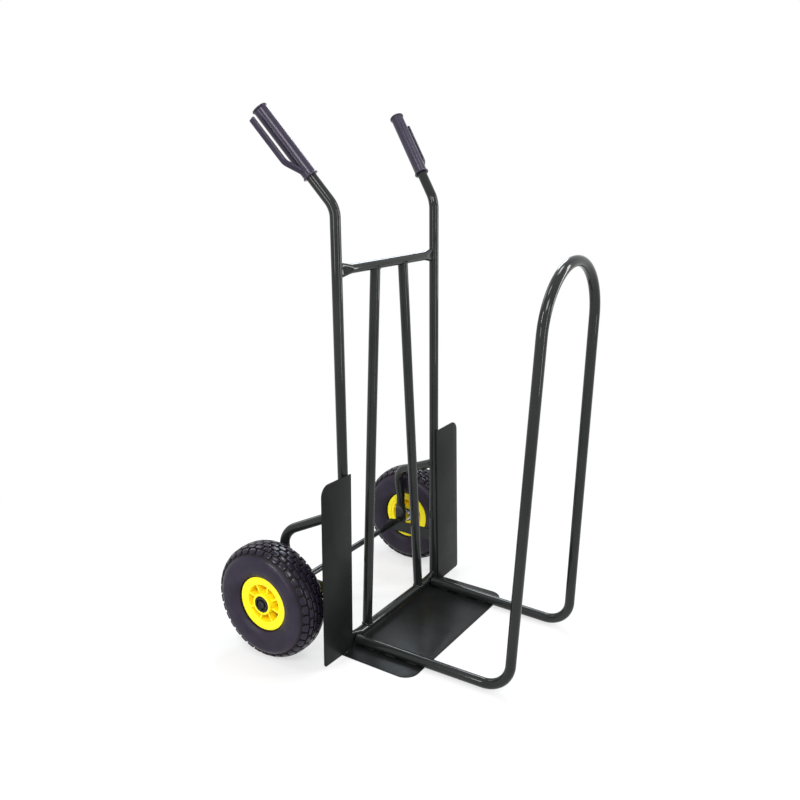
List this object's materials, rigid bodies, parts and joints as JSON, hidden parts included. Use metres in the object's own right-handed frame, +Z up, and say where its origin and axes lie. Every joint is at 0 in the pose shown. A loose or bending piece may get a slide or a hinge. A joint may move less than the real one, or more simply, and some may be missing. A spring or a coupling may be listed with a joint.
{
  "type": "fireside log cart",
  "caption": "Log cart for a fireplace: an upright tube frame with splayed grips, slats and a toe plate, a tall rounded loop that holds the logs in, and pneumatic wheels on a through axle.",
  "frame": {"origin": "on the floor, in the middle of the cart's width and of its length from the front of the loop to the rear of the tyres", "axes": "+X to the cart's right as seen by the person who pushes it, +Y backwards to the wheels and the handles, +Z up; the loop is at -Y"},
  "size_m": [0.656, 0.6849, 1.1582],
  "materials": {
    "powder_coat": "gloss",
    "plate_black": "semi-gloss",
    "grip_plastic": "satin",
    "tyre_rubber": "matte",
    "butyl_rubber": "matte",
    "rim_yellow": "gloss",
    "black_plastic": "gloss",
    "zinc": "satin"
  },
  "bodies": {
    "frame": {"upright_left": "powder_coat", "upright_right": "powder_coat", "top_crossbar": "powder_coat", "lower_crossbar": "powder_coat", "slat_left": "powder_coat", "slat_right": "powder_coat", "toe_plate": "plate_black", "wheel_guard_left": "plate_black", "wheel_guard_right": "plate_black", "log_loop": "powder_coat", "bracket_left": "powder_coat", "bracket_right": "powder_coat", "axle_stay_left": "powder_coat", "axle_stay_right": "powder_coat", "axle": "powder_coat", "grip_left": "grip_plastic", "grip_right": "grip_plastic", "outer_washer_left": "zinc", "outer_washer_right": "zinc", "inner_washer_left": "zinc", "inner_washer_right": "zinc", "spacer_left": "zinc", "spacer_right": "zinc", "axle_cap_left": "black_plastic", "axle_cap_right": "black_plastic"},
    "wheel_left": {"tyre_left": "tyre_rubber", "inner_tube_left": "butyl_rubber", "rim_left": "rim_yellow", "outer_bush_left": "black_plastic", "inner_bush_left": "black_plastic"},
    "wheel_right": {"tyre_right": "tyre_rubber", "inner_tube_right": "butyl_rubber", "rim_right": "rim_yellow", "outer_bush_right": "black_plastic", "inner_bush_right": "black_plastic"}
  },
  "joints": [
    {"name": "wheel_left_spin", "type": "hinge", "parent": "frame", "child": "wheel_left", "pos_m": [-0.286, 0.2125, 0.13], "axis": [1, 0, 0], "continuous": true},
    {"name": "wheel_right_spin", "type": "hinge", "parent": "frame", "child": "wheel_right", "pos_m": [0.286, 0.2125, 0.13], "axis": [1, 0, 0], "continuous": true}
  ]
}
